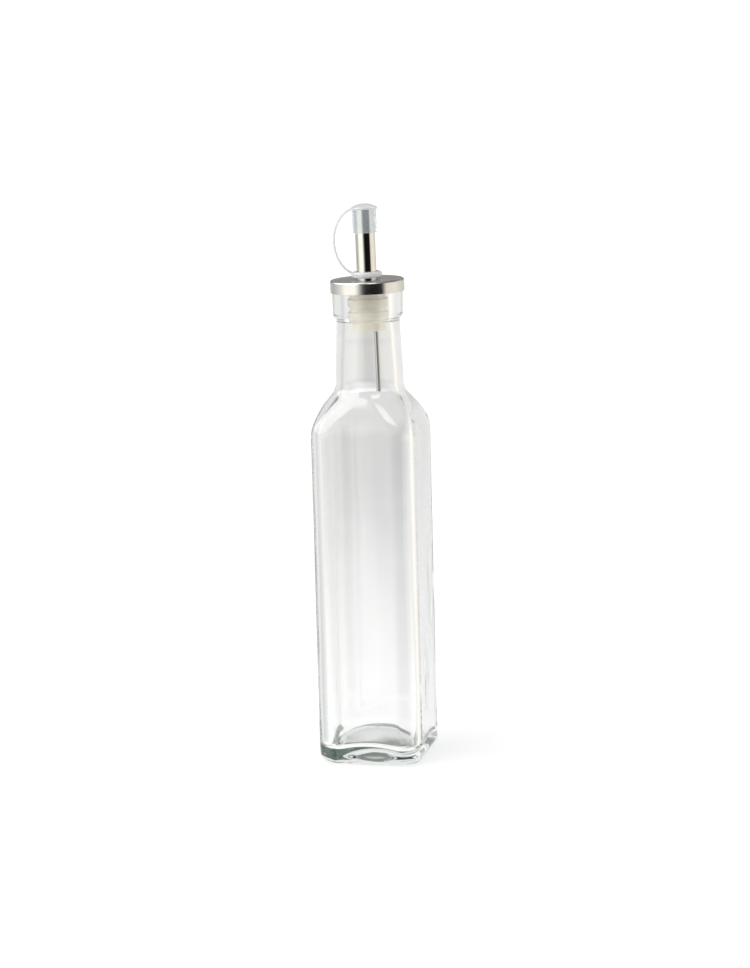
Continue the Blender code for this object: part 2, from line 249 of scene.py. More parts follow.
def joined(*runs):
    """Runs of points in one array, without those that repeat the point before."""
    points = np.vstack(runs)
    step = np.linalg.norm(np.diff(points, axis=0), axis=1)
    return points[np.concatenate([[True], step > SAME_POINT])]


def mix(first, second, share):
    """The value that lies this share of the way from first to second."""
    return first + (second - first) * share


def smooth(value, low, high):
    """0 below low, 1 above high, and an S curve between."""
    t = np.clip((value - low) / (high - low), 0.0, 1.0)
    return t * t * (3 - 2 * t)


def even_angles(sides, crowding=0.0):
    """Angles once round, crowded towards the corners: t plus a share of the sine of 4t."""
    t = np.arange(sides) * 2 * pi / sides
    return t + crowding * np.sin(4 * t) / 4


def rounded_square(half, corner, height, angles):
    """Rings where rays at these angles meet squares with rounded corners, or circles where both are equal."""
    half, corner, height = half[:, None], corner[:, None], height[:, None]
    c, s = np.abs(np.cos(angles)), np.abs(np.sin(angles))
    run = half - corner
    flat = half / np.maximum(c, s)
    inside = np.maximum(corner ** 2 - run ** 2 * (1 - 2 * c * s), 0.0)
    round_part = run * (c + s) + np.sqrt(inside)
    reach = np.where(half * np.minimum(c, s) <= run * np.maximum(c, s), flat, round_part)
    return np.stack([reach * np.cos(angles), reach * np.sin(angles), height + 0 * reach], axis=2)


def turned(profile, sides):
    """A profile carried once round the upright axis: radius times cosine and sine, and the height."""
    angles = even_angles(sides)
    area = np.sum(profile[:, 0] * np.roll(profile[:, 1], -1) - np.roll(profile[:, 0], -1) * profile[:, 1])
    if area < 0:
        profile = profile[::-1]
    radius, height = profile[:, :1], profile[:, 1:]
    return np.stack([radius * np.cos(angles), radius * np.sin(angles), height + 0 * angles], axis=2)


def quads(rows, sides, closed_rows):
    """Corner numbers of the faces between neighbouring rows and sides of a grid."""
    i = np.arange(rows if closed_rows else rows - 1)[:, None]
    j = np.arange(sides)[None, :]
    k = (j + 1) % sides
    up = (i + 1) % rows
    return np.stack([i * sides + j, i * sides + k, up * sides + k, up * sides + j], axis=2).reshape(-1, 4)


def grid_mesh(name, grid, closed_rows=False, poles=()):
    """A mesh from a grid closed from side to side, and over poles or from its last row to its first."""
    rows, sides = grid.shape[:2]
    points = [grid.reshape(-1, 3)]
    faces = quads(rows, sides, closed_rows).tolist()
    j = np.arange(sides)
    k = (j + 1) % sides
    if poles:
        top = rows * sides
        points.append(np.array(poles))
        faces += np.column_stack([j * 0 + top, k, j]).tolist()
        last = (rows - 1) * sides
        faces += np.column_stack([j * 0 + top + 1, last + j, last + k]).tolist()
    mesh = bpy.data.meshes.new(name)
    mesh.from_pydata(np.vstack(points).tolist(), [], faces)
    mesh.update()
    mesh.shade_smooth()
    return mesh


def turned_mesh(name, profile, sides, place):
    """A turned profile as a mesh in its place, with a pole where an end of the profile is on the axis."""
    grid = turned(profile, sides)
    flat = np.hypot(grid[:, 0, 0], grid[:, 0, 1]) < SAME_POINT
    if flat.any():
        poles = [grid[0, 0], grid[-1, 0]]
        mesh = grid_mesh(name, grid[1:-1], poles=poles)
    else:
        mesh = grid_mesh(name, grid, closed_rows=True)
    mesh.transform(place)
    return mesh


def pourer_place():
    """Where the pourer stands: turned to its strap, leaning, and up at its pivot."""
    pourer = settings()[1]
    turn = Matrix.Rotation(pourer.azimuth, 4, 'Z') @ Matrix.Rotation(-pourer.lean, 4, 'Y')
    return Matrix.Translation((0.0, 0.0, pourer.pivot)) @ turn


def add_object(name, data):
    """A new object in the scene, with this mesh, camera or light."""
    made = bpy.data.objects.new(name, data)
    bpy.context.scene.collection.objects.link(made)
    return made


def dress(mesh, name, node, materials):
    """Puts a finished mesh into the scene in place of its CAD node."""
    for material in materials:
        mesh.materials.append(material)
    piece = add_object(name, mesh)
    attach(piece, "root")
    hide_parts(node)


# Glass

def shoulder_curve(glass, offset):
    """The shoulder moved inwards by an offset: an arc out of the wall, and an arc into the neck."""
    half = glass.width / 2
    reach = glass.shoulder_radius + glass.neck_fillet
    turn = acos(1 - (half - glass.neck_foot_radius) / reach)
    foot = (half - glass.shoulder_radius, glass.shoulder_start)
    convex = arc(foot, glass.shoulder_radius - offset, 0, turn, points=30)
    centre = (glass.neck_foot_radius + glass.neck_fillet, glass.shoulder_start + reach * sin(turn))
    concave = arc(centre, glass.neck_fillet + offset, pi + turn, pi, points=20)
    return np.vstack([convex, concave[1:]])


def outer_glass(glass):
    """Half width, corner radius and height of the outside, from the foot's hollow up to the lip."""
    half = glass.width / 2
    bearing = half - glass.heel
    share = np.linspace(0, 1, HOLLOW_RINGS + 1)[1:]
    inside = (bearing - glass.bearing) * share
    hollow = [inside, mix(inside, glass.heel_corner, share ** 2), 0 * share]
    heel = arc((bearing, glass.heel), glass.heel, -pi / 2, 0, points=16)
    heel_corner = mix(glass.heel_corner, glass.corner, (heel[:, 0] - bearing) / glass.heel)
    height = np.linspace(glass.heel, glass.shoulder_start, 62)[1:-1]
    shoulder = shoulder_curve(glass, 0.0)
    roundness = smooth(shoulder[:, 1], glass.shoulder_start, shoulder[-1, 1])
    rise = np.linspace(0, 1, 16)[1:]
    neck = mix(glass.neck_foot_radius, glass.neck_top_radius, smooth(rise, 0.0, 1.0))
    turn = np.linspace(0, pi / 2, 10)[1:]
    step = glass.neck_top_radius + (glass.ring_foot_radius - glass.neck_top_radius) * np.sin(turn)
    ring_rise = np.linspace(0, 1, 8)[1:-1]
    lip = arc((glass.ring_top_radius - glass.lip, glass.height - glass.lip), glass.lip, 0, pi / 2, points=10)
    ring = mix(glass.ring_foot_radius, glass.ring_top_radius, ring_rise)
    ring_top = glass.height - glass.lip
    columns = [
        hollow,
        [heel[:, 0], heel_corner, heel[:, 1]],
        [half + 0 * height, glass.corner + 0 * height, height],
        [shoulder[:, 0], mix(glass.corner, shoulder[:, 0], roundness), shoulder[:, 1]],
        [neck, neck, mix(shoulder[-1, 1], glass.ring_foot, rise)],
        [step, step, glass.ring_foot + glass.ring_undercut * (1 - np.cos(turn))],
        [ring, ring, mix(glass.ring_foot + glass.ring_undercut, ring_top, ring_rise)],
        [lip[:, 0], lip[:, 0], lip[:, 1]],
    ]
    return np.hstack([np.array(c) for c in columns])


def inner_glass(glass):
    """Half width, corner radius and height of the inside, from the lip down to the floor's middle."""
    lip = arc((glass.mouth_radius + glass.lip, glass.height - glass.lip), glass.lip, pi / 2, pi, points=10)
    mouth_foot = glass.height - glass.mouth_depth
    drop = np.linspace(0, 1, 10)[1:-1]
    mouth = glass.mouth_radius + 0 * drop
    flare = np.linspace(0, 1, 14)
    flare_radius = mix(glass.mouth_radius, glass.neck_top_radius - glass.neck_wall, smooth(flare, 0.0, 1.0))
    flare_foot = mouth_foot - glass.mouth_flare
    body = shoulder_curve(glass, glass.wall)[::-1]
    neck = shoulder_curve(glass, glass.neck_wall)[::-1]
    fall = np.linspace(0, 1, 16)[1:-1]
    neck_radius = mix(flare_radius[-1], neck[0, 0], smooth(fall, 0.0, 1.0))
    share = smooth(body[:, 1], glass.shoulder_start, neck[0, 1])
    shoulder = mix(body[:, 0], neck[:, 0], share)
    half = glass.width / 2 - glass.wall
    height = np.linspace(glass.shoulder_start, glass.floor_edge + glass.floor_fillet, 62)[1:-1]
    centre = (half - glass.floor_fillet, glass.floor_edge + glass.floor_fillet)
    fillet = arc(centre, glass.floor_fillet, 0, -glass.floor_turn, points=18)
    fillet_corner = mix(glass.inner_corner, glass.floor_corner, (half - fillet[:, 0]) / glass.floor_fillet)
    edge, low = fillet[-1]
    inward = np.linspace(1, 0, 18)[1:-1]
    floor_corner = mix(inward * edge, glass.floor_corner, inward ** 2)
    columns = [
        [lip[:, 0], lip[:, 0], lip[:, 1]],
        [mouth, mouth, mix(glass.height - glass.lip, mouth_foot, drop)],
        [flare_radius, flare_radius, mix(mouth_foot, flare_foot, flare)],
        [neck_radius, neck_radius, mix(flare_foot, neck[0, 1], fall)],
        [shoulder, mix(glass.inner_corner, shoulder, share), mix(body[:, 1], neck[:, 1], share)],
        [half + 0 * height, glass.inner_corner + 0 * height, height],
        [fillet[:, 0], fillet_corner, fillet[:, 1]],
        [inward * edge, floor_corner, mix(glass.floor_crown, low, inward ** 2)],
    ]
    return np.hstack([np.array(c) for c in columns])


def uneven_wall(grid, glass):
    """Pushes the inside in and out by a sum of sine waves round and up the wall, as blown glass wanders."""
    x, y, z = np.moveaxis(grid, 2, 0)
    around = np.arctan2(y, x)
    wave = sum(share * np.sin(turns * around + phase + z / (rise * MM))
               for share, turns, phase, rise in WAVES)
    weight = smooth(z, glass.floor_edge, WAVE_FOOT) * (1 - smooth(z, glass.shoulder_start, WAVE_TOP))
    push = 1 + glass.unevenness * wave * weight / np.maximum(np.hypot(x, y), glass.mouth_radius)
    return np.stack([x * push, y * push, z], axis=2)


def domed_floor(grid, glass):
    """Adds a dome of 1 minus the squared share of the half width, which lowers the corners a little."""
    x, y, z = np.moveaxis(grid, 2, 0)
    half = glass.width / 2 - glass.wall
    weight = 1 - smooth(z, glass.floor_edge, glass.floor_edge + 3 * glass.floor_fillet)
    lift = glass.floor_dome * (1 - (x * x + y * y) / half ** 2) * weight
    return np.stack([x, y, z + lift], axis=2)


def round_hollow(grid, glass):
    """Makes the foot's hollow a round dome: its height falls with the squared distance from the axis."""
    x, y, z = np.moveaxis(grid, 2, 0)
    reach = glass.width / 2 - glass.heel - glass.bearing
    share = np.clip((x * x + y * y) / reach ** 2, 0.0, 1.0)
    return np.stack([x, y, glass.push_up * (1 - share)], axis=2)


def glass_mesh(glass):
    """One closed skin: rings of rounded squares that turn to circles, outside up, inside down."""
    angles = even_angles(glass.sides, 0.5)
    outside = rounded_square(*outer_glass(glass), angles)
    outside[:HOLLOW_RINGS] = round_hollow(outside[:HOLLOW_RINGS], glass)
    inside = domed_floor(uneven_wall(rounded_square(*inner_glass(glass), angles), glass), glass)
    poles = [(0, 0, glass.push_up), (0, 0, glass.floor_crown + glass.floor_dome)]
    return grid_mesh("bottle_glass", np.vstack([outside, inside]), poles=poles)


# Pourer

def band(radius, high, low, edge, points, inner):
    """An upright outer wall between two rounded edges, from the top down."""
    return joined(
        arc((radius - edge, high - edge), edge, pi / 2, 0, points),
        line((radius, high - edge), (radius, low + edge), inner),
        arc((radius - edge, low + edge), edge, 0, -pi / 2, points))


def collar_mesh(pourer):
    """A pressed dish: flat top, rounded edge, and a skirt rolled in at its hem."""
    edge = (pourer.collar_radius - pourer.collar_edge, pourer.collar_top - pourer.collar_edge)
    hole = pourer.spout_radius + pourer.gap
    sheet = pourer.collar_sheet
    hem = pourer.collar_top - pourer.collar_skirt + sheet / 2
    skirt = pourer.collar_radius
    under = pourer.collar_top - sheet
    profile = joined(
        line((hole, pourer.collar_top), (edge[0], pourer.collar_top), inner=12),
        arc(edge, pourer.collar_edge, pi / 2, 0, points=12),
        line((skirt, edge[1]), (skirt, hem), inner=6),
        arc((skirt - sheet / 2, hem), sheet / 2, 0, -pi, points=12),
        line((skirt - sheet, hem), (skirt - sheet, edge[1]), inner=6),
        arc(edge, pourer.collar_edge - sheet, 0, pi / 2, points=12),
        line((edge[0], under), (hole, under), inner=12),
        arc((hole, pourer.collar_top - sheet / 2), sheet / 2, -pi / 2, -3 * pi / 2, points=8))
    return turned_mesh("steel_collar", profile, pourer.sides, pourer_place())


def stopper_mesh(stopper, pourer):
    """A plug of ribs with rounded edges, turned round a bore, with a parting line down two sides."""
    bore = pourer.spout_radius + pourer.gap
    rib, groove, nose = stopper.rib_radius, stopper.groove_radius, stopper.nose_radius
    edge = rib - stopper.rib_edge
    ribs = [(stopper.top, stopper.upper_rib_foot), (stopper.middle_rib_top, stopper.middle_rib_foot),
            (stopper.lower_rib_top, stopper.lower_rib_foot)]
    runs = [line((bore, stopper.top), (edge, stopper.top), inner=4)]
    before = None
    for high, low in ribs:
        if before is not None:
            runs += [
                line((edge, before), (groove, before), inner=1),
                line((groove, before), (groove, high), inner=3),
                line((groove, high), (edge, high), inner=1)]
        runs.append(band(rib, high, low, stopper.rib_edge, points=6, inner=4))
        before = low
    slope_foot = before - stopper.nose_shoulder
    nose_edge = (nose - stopper.nose_edge, stopper.nose_foot + stopper.nose_edge)
    runs += [
        line((edge, before), (nose, slope_foot), inner=3),
        line((nose, slope_foot), (nose, nose_edge[1]), inner=3),
        arc(nose_edge, stopper.nose_edge, 0, -pi / 2, points=10),
        line((nose_edge[0], stopper.nose_foot), (bore, stopper.nose_foot), inner=3),
        line((bore, stopper.nose_foot), (bore, stopper.top), inner=24)]
    grid = turned(joined(*runs), pourer.sides)
    radius = np.hypot(grid[:, :, 0], grid[:, :, 1])
    around = np.degrees(even_angles(pourer.sides))
    ridge = np.exp(-((around % 180 - 90) / PARTING_WIDTH) ** 2) * stopper.parting
    push = 1 + ridge * smooth(radius, bore + PARTING_FADE, nose - PARTING_FADE) / radius
    grid[:, :, :2] *= push[:, :, None]
    mesh = grid_mesh("pourer_stopper", grid, closed_rows=True)
    mesh.transform(pourer_place())
    return mesh


def tube_profile(radius, bore, foot, top):
    """A tube's wall with rounded rims."""
    rim = (radius - bore) / 2
    middle = (radius + bore) / 2
    return joined(
        line((radius, foot + rim), (radius, top - rim), inner=30),
        arc((middle, top - rim), rim, 0, pi, points=8),
        line((bore, top - rim), (bore, foot + rim), inner=30),
        arc((middle, foot + rim), rim, pi, 2 * pi, points=8))


def spout_mesh(pourer):
    """The straight spout."""
    bore = pourer.spout_radius - pourer.spout_sheet
    profile = tube_profile(pourer.spout_radius, bore, pourer.spout_foot, pourer.spout_top)
    return turned_mesh("spout_pipe", profile, pourer.sides * 2 // 3, pourer_place())


def vent_mesh(pourer):
    """The thin tube beside the axis."""
    profile = tube_profile(pourer.vent_radius, pourer.vent_bore, pourer.vent_foot, pourer.vent_top)
    place = pourer_place() @ Matrix.Translation((pourer.vent_offset, 0.0, 0.0))
    return turned_mesh("vent_pipe", profile, pourer.sides // 4, place)


def cap_mesh(cap, pourer):
    """A cup upside down over the spout's end: a low dome, a thin brim and a wall that tapers a little."""
    dome_radius = (cap.brim_radius ** 2 + cap.dome ** 2) / (2 * cap.dome)
    reach = np.arcsin(cap.brim_radius / dome_radius)
    bead = 0.12 * MM
    crown = cap.brim + cap.dome
    dome = arc((0.0, crown - dome_radius), dome_radius, pi / 2, pi / 2 - reach, points=20)
    inside = pourer.spout_radius + pourer.gap
    ceiling = pourer.spout_top + cap.ceiling
    brim = cap.brim - cap.brim_thickness
    foot_edge = cap.foot_radius - pourer.gap
    profile = joined(
        dome[:-1],
        line((cap.brim_radius, cap.brim - bead), (cap.brim_radius, brim + bead), inner=1),
        line((cap.brim_radius - bead, brim), (cap.top_radius, brim), inner=0),
        line((cap.top_radius, brim), (cap.foot_radius, cap.foot + pourer.gap), inner=20),
        arc((foot_edge, cap.foot + pourer.gap), pourer.gap, 0, -pi / 2, points=6),
        line((foot_edge, cap.foot), (inside, cap.foot), inner=0),
        line((inside, cap.foot), (inside, ceiling), inner=20),
        line((inside, ceiling), (0.0, ceiling), inner=8))
    return turned_mesh("cap_wall", profile, pourer.sides * 3 // 4, pourer_place())


def ring_mesh(cap, pourer):
    """The ring round the spout's foot, with rounded edges."""
    low, high = cap.ring_foot, cap.ring_foot + cap.ring_height
    edge = cap.ring_edge
    inside = pourer.spout_radius + pourer.gap
    outside = cap.ring_radius
    profile = joined(
        line((inside, high), (outside - edge, high), inner=2),
        band(outside, high, low, edge, points=12, inner=1),
        line((outside - edge, low), (inside, low), inner=2),
        line((inside, low), (inside, high), inner=2))
    return turned_mesh("ring_wall", profile, pourer.sides * 3 // 4, pourer_place())


def strap_mesh(cap):
    """A rounded strip along part of an ellipse: each section stands square to the curve."""
    low = cap.ring_foot + cap.ring_height - cap.strap_thickness
    high = cap.brim - cap.brim_thickness / 2
    first = np.arccos((cap.strap_root - cap.strap_centre) / cap.strap_reach)
    rise = (high - low) / 2 / np.sin(first)
    middle = (low + high) / 2
    along = np.linspace(first, 2 * pi - first, 120)
    x = cap.strap_centre + cap.strap_reach * np.cos(along)
    z = middle + rise * np.sin(along)
    slope = np.arctan2(rise * np.cos(along), -cap.strap_reach * np.sin(along))
    round_angles = even_angles(32)
    c, s = np.cos(round_angles), np.sin(round_angles)
    squareness = 0.5
    out = np.sign(c) * np.abs(c) ** squareness * cap.strap_thickness / 2
    side = np.sign(s) * np.abs(s) ** squareness * cap.strap_width / 2
    grid = np.stack([x[:, None] + out * np.sin(slope)[:, None], side + 0 * x[:, None],
                     z[:, None] - out * np.cos(slope)[:, None]], axis=2)
    ends = [(x[0], 0, z[0]), (x[-1], 0, z[-1])]
    mesh = grid_mesh("strap_wall", grid, poles=ends)
    mesh.transform(pourer_place())
    return mesh


def fused(first, *others):
    """Several closed meshes cut together into one by Boolean unions."""
    base = add_object(first.name, first)
    helpers = []
    for other in others:
        helper = add_object(other.name, other)
        union = base.modifiers.new(other.name, 'BOOLEAN')
        union.operation = 'UNION'
        union.solver = 'EXACT'
        union.object = helper
        helpers.append(helper)
    depsgraph = bpy.context.evaluated_depsgraph_get()
    result = bpy.data.meshes.new_from_object(base.evaluated_get(depsgraph))
    for helper in [base, *helpers]:
        old = helper.data
        bpy.data.objects.remove(helper)
        bpy.data.meshes.remove(old)
    result.shade_smooth()
    result.set_sharp_from_angle(angle=FUSED_EDGE)
    return result


def face_centres(mesh):
    """The middle of each face, as rows of x, y and z."""
    flat = np.empty(len(mesh.polygons) * 3)
    mesh.polygons.foreach_get("center", flat)
    return flat.reshape(-1, 3)


def skirt_faces(mesh, pourer):
    """Which faces of the collar are its skirt: outside the flat top and below it."""
    centre = face_centres(mesh)
    height = pourer.pivot + pourer.collar_top - pourer.collar_edge + SKIRT_MARGIN
    radius = pourer.collar_radius - pourer.collar_edge * SKIRT_REACH
    return (np.hypot(centre[:, 0], centre[:, 1]) > radius) & (centre[:, 2] < height)


def wall_faces(mesh, cap):
    """Which faces of the moulding are the cap's own thin wall."""
    margin = 0.05 * MM
    centre = np.c_[face_centres(mesh), np.ones(len(mesh.polygons))] @ np.array(pourer_place().inverted()).T
    near = np.hypot(centre[:, 0], centre[:, 1]) < cap.top_radius + margin
    return near & (centre[:, 2] > cap.foot - MM) & (centre[:, 2] < cap.brim)


# Materials

# Sockets of a Mix node that mixes colours: the second one's share, the two colours, and the result
SHARE, FIRST, SECOND, MIXED = 0, 6, 7, 2


def add_node(tree, kind, inputs=None, stops=(), **options):
    """Adds a node, its options and stops, and sets or links its inputs; a node means its first output."""
    made = tree.nodes.new("ShaderNode" + kind)
    for name, value in options.items():
        setattr(made, name, value)
    if stops:
        elements = made.color_ramp.elements
        while len(elements) < len(stops):
            elements.new(0.5)
        for element, (place, colour) in zip(elements, stops):
            element.position = place
            element.color = colour
    for socket, value in (inputs or {}).items():
        if isinstance(value, bpy.types.Node):
            value = value.outputs[0]
        if isinstance(value, bpy.types.NodeSocket):
            tree.links.new(value, made.inputs[socket])
        else:
            made.inputs[socket].default_value = value
    return made


def new_material(name):
    """An empty node material and its output node."""
    material = bpy.data.materials.new(name)
    material.use_nodes = True
    material.node_tree.nodes.clear()
    return material, material.node_tree, add_node(material.node_tree, "OutputMaterial")


def let_light_through(tree, output, shader, shadow, scattered):
    """Shows the shader, and lets shadow rays and scattered light through with a tint, as clear pieces do."""
    path = add_node(tree, "LightPath").outputs
    soft_light = add_node(tree, "Math", {
        0: path["Is Shadow Ray"], 1: path["Is Diffuse Ray"]}, operation='MAXIMUM')
    tint = add_node(tree, "Mix", {
        SHARE: path["Is Diffuse Ray"], FIRST: shadow, SECOND: scattered}, data_type='RGBA').outputs[MIXED]
    clear = add_node(tree, "BsdfTransparent", {"Color": tint})
    both = add_node(tree, "MixShader", {0: soft_light, 1: shader, 2: clear})
    tree.links.new(both.outputs[0], output.inputs["Surface"])


def flint_glass(glass):
    """Blown soda-lime glass, fire-polished: a sharp gloss, a faint ripple, and green where it is thick."""
    material, tree, output = new_material("blown flint glass")
    place = add_node(tree, "TexCoord").outputs["Object"]
    ripple = add_node(tree, "TexNoise", {"Vector": place, "Scale": 1 / (14 * MM), "Detail": 1.0})
    bump = add_node(tree, "Bump", {
        "Height": ripple, "Strength": 1.0, "Distance": 0.06 * MM})
    shader = add_node(tree, "BsdfPrincipled", {
        "Base Color": linear("#fefefe"), "Roughness": 0.0, "IOR": 1.52, "Transmission Weight": 1.0,
        "Normal": bump})
    let_light_through(tree, output, shader, linear("#ededed"), linear("#fafafa"))
    tint = add_node(tree, "VolumeAbsorption", {"Color": linear(glass.tint), "Density": glass.depth})
    tree.links.new(tint.outputs[0], output.inputs["Volume"])
    return material


def steel(name, colour, rough, grain, around, brushed=0.0):
    """Stainless steel: grain and faint smears spread its gloss, and brushing spreads it round the axis."""
    material, tree, output = new_material(name)
    place = add_node(tree, "TexCoord").outputs["Object"]
    lines = add_node(tree, "Mapping", {"Vector": place, "Scale": around})
    scratch = add_node(tree, "TexNoise", {
        "Vector": lines, "Scale": 1 / grain, "Detail": 3.0})
    smear = add_node(tree, "TexNoise", {"Vector": place, "Scale": 1 / (6 * MM), "Detail": 4.0})
    both = add_node(tree, "Math", {0: scratch, 1: smear}, operation='ADD')
    spread = add_node(tree, "MapRange", {
        "Value": both, "From Min": 0.7, "From Max": 1.3, "To Min": rough[0], "To Max": rough[1]})
    bump = add_node(tree, "Bump", {
        "Height": scratch, "Strength": 0.3, "Distance": rough[1] * 0.005 * MM})
    shade = add_node(tree, "ValToRGB", {0: smear}, [
        (0.3, linear(colour, 0.93)), (0.7, linear(colour, 1.05))])
    shader = add_node(tree, "BsdfPrincipled", {
        "Base Color": shade, "Metallic": 1.0, "Roughness": spread,
        "Normal": bump, "Anisotropic": brushed})
    if brushed:
        ring_grain = add_node(tree, "Tangent", direction_type='RADIAL', axis='Z')
        tree.links.new(ring_grain.outputs[0], shader.inputs["Tangent"])
    tree.links.new(shader.outputs[0], output.inputs["Surface"])
    return material


def polyethylene(name, colour, shadow, scattered, clearness, gloss, flow_size, detail):
    """Moulded polyethylene: milky to nearly clear, a waxy gloss, and faint flow marks."""
    material, tree, output = new_material(name)
    place = add_node(tree, "TexCoord").outputs["Object"]
    flow = add_node(tree, "TexNoise", {
        "Vector": place, "Scale": 1 / flow_size, "Detail": detail})
    rough = add_node(tree, "MapRange", {"Value": flow, "To Min": gloss[0], "To Max": gloss[1]})
    bump = add_node(tree, "Bump", {"Height": flow, "Strength": 0.2, "Distance": 0.004 * MM})
    if isinstance(colour, list):
        colour = add_node(tree, "ValToRGB", {0: flow}, colour)
    shader = add_node(tree, "BsdfPrincipled", {
        "Base Color": colour, "Roughness": rough, "IOR": 1.51, "Transmission Weight": clearness,
        "Normal": bump})
    let_light_through(tree, output, shader, shadow, scattered)
    return material


# Studio

# What reflections show all round, level: degrees from the camera towards the right, colour, level
MIRRORED_ROUND = (
    (-180, "#ffffff", 0.70), (-140, "#ffffff", 0.60), (-112, "#fbfffd", 0.85), (-92, "#fffffa", 1.1),
    (-74, "#fffffa", 1.6), (-37, "#fffffa", 1.6), (-29, "#fffffa", 1.0), (-20, "#ffffff", 0.33),
    (-12, "#ffffff", 0.05), (-4, "#ffffff", 0.008), (48, "#fff4e8", 0.015), (61, "#fffaf2", 1.2),
    (95, "#fffaf2", 1.3), (125, "#fff9ef", 1.05), (160, "#fffcf8", 0.80), (180, "#ffffff", 0.70))
# What reflections show behind the bottle, from below to above: degrees of elevation, colour, level
MIRRORED_BEHIND = (
    (-90, "#ffffff", 1.1), (-8, "#ffffff", 0.85), (3, "#ffffff", 0.75), (6, "#fffcf8", 0.38),
    (9, "#fffbf6", 0.18), (14, "#fffdfa", 0.42), (21, "#fffefc", 0.62), (32, "#fffefc", 0.38),
    (90, "#ffffff", 0.5))
# The same as the glass shows it after a turn inside: degrees of elevation, colour, level
INSIDE_BEHIND = (
    (-90, "#ffffff", 1.1), (-8, "#ffffff", 0.85), (3, "#ffffff", 0.80), (18, "#fefffd", 0.86),
    (22, "#fafdfa", 0.62), (27, "#f6faf6", 0.26), (34, "#f6faf6", 0.22), (90, "#ffffff", 0.4))
# Softboxes: degrees from the camera towards the right, degrees up, half their width and half their height
SOFTBOXES = ((-84, 53, 50, 42), (20, 62, 26, 17))
SOFTBOX_EDGE = 8
# Where the mirrored room blends, in degrees: round into its back, down to the table, and up to the ceiling
BACK_BLEND = (125, 160)
TABLE_BLEND = (-14, -26)
CEILING_BLEND = (20, 32)
# Levels of that table and of the white that the camera sees past the bottle
TABLE_LEVEL = 1.1
CAMERA_WHITE = 1.2
# What shows straight through, from below to above: degrees of elevation, colour, level
CLEAR_ABOVE = (
    (-90, "#ffffff", 1.12), (-17, "#ffffff", 1.12), (-14.7, "#ffffff", 1.08), (-13.1, "#ffffff", 0.965),
    (-12.3, "#ffffff", 0.91), (-11.6, "#ffffff", 0.84), (-10.6, "#fefefe", 0.755), (-9.4, "#fefefe", 0.695),
    (-8.8, "#fffefc", 0.72), (-8, "#fffefc", 0.79), (8, "#fffefb", 0.80), (13, "#fffefb", 1.05),
    (22, "#fffefb", 1.05), (32, "#fffefb", 0.80), (90, "#ffffff", 0.8))
# How that differs all round: degrees from the camera towards the right, colour, level
CLEAR_ROUND = (
    (-180, "#ffffff", 0.96), (-150, "#ffffff", 1.0), (-110, "#fbfffd", 1.12), (-70, "#fbfffd", 1.15),
    (-30, "#fbfffc", 0.95), (0, "#fbfffc", 0.85), (40, "#fbfffc", 0.85), (70, "#fffefa", 1.0),
    (100, "#fffbf0", 1.05), (130, "#fffdf6", 1.0), (155, "#ffffff", 0.96), (180, "#ffffff", 0.96))
FILM_WIDTH = 36.0
# The key light: degrees from the camera towards the right and up, metres away, and how broad it looks
KEY_PLACE = (-70, 58)
KEY_DISTANCE = 2.0
KEY_WIDTH = radians(50)
KEY_AIM = Vector((0, 0, 0.12))
# How far the floor lies under the foot
FLOOR_GAP = 0.02 * MM


def ramp_stops(table, reach):
    """Places along a ramp from minus reach to reach degrees, with their linear colours."""
    return [((place + reach) / (2 * reach), linear(code, level)) for place, code, level in table]


def camera_axes(stage):
    """Right, up and forward of the camera, from its azimuth, yaw, pitch and roll."""
    turn = stage.azimuth + stage.yaw
    forward = Vector((-sin(turn) * cos(stage.pitch), cos(turn) * cos(stage.pitch), sin(stage.pitch)))
    right = Vector((cos(turn), sin(turn), 0.0))
    up = right.cross(forward)
    rolled_right = right * cos(stage.roll) - up * sin(stage.roll)
    rolled_up = up * cos(stage.roll) + right * sin(stage.roll)
    return rolled_right, rolled_up, forward


def add_camera(stage):
    """The camera, at the photograph's angle."""
    lens = bpy.data.cameras.new("camera")
    lens.sensor_width = FILM_WIDTH
    lens.lens = stage.lens / MM
    lens.clip_start = 0.01
    lens.clip_end = 100.0
    camera = add_object("camera", lens)
    right, up, forward = camera_axes(stage)
    turn = Matrix((right, up, -forward)).transposed().to_4x4()
    place = (sin(stage.azimuth) * stage.distance, -cos(stage.azimuth) * stage.distance, stage.height)
    camera.matrix_world = Matrix.Translation(place) @ turn
    bpy.context.scene.camera = camera


def toward(stage, around, above):
    """The direction that lies so many degrees from the camera towards the right, and so many up."""
    turn = stage.azimuth + radians(around)
    return Vector((sin(turn) * cos(radians(above)), -cos(turn) * cos(radians(above)), sin(radians(above))))


def room_angles(tree, stage):
    """A ray's direction as two angles: round from the camera towards the right, and up."""
    look = add_node(tree, "TexCoord").outputs["Generated"]
    turned_look = add_node(tree, "VectorRotate", {
        "Vector": look, "Angle": -stage.azimuth}, rotation_type='Z_AXIS')
    part = add_node(tree, "SeparateXYZ", {0: turned_look}).outputs
    nearer = add_node(tree, "Math", {0: part["Y"], 1: -1.0}, operation='MULTIPLY')
    around = add_node(tree, "Math", {0: part["X"], 1: nearer}, operation='ARCTAN2')
    above = add_node(tree, "Math", {0: part["Z"]}, operation='ARCSINE')
    return around, above


def room_colours(tree, around, above):
    """The colours of the five tables, each read along its own angle."""
    colours = []
    for value, table, reach in (
            (around, MIRRORED_ROUND, 180), (above, MIRRORED_BEHIND, 90), (above, INSIDE_BEHIND, 90),
            (above, CLEAR_ABOVE, 90), (around, CLEAR_ROUND, 180)):
        share = add_node(tree, "MapRange", {
            "Value": value, "From Min": -radians(reach), "From Max": radians(reach)})
        colours.append(add_node(tree, "ValToRGB", {0: share}, ramp_stops(table, reach)))
    return colours


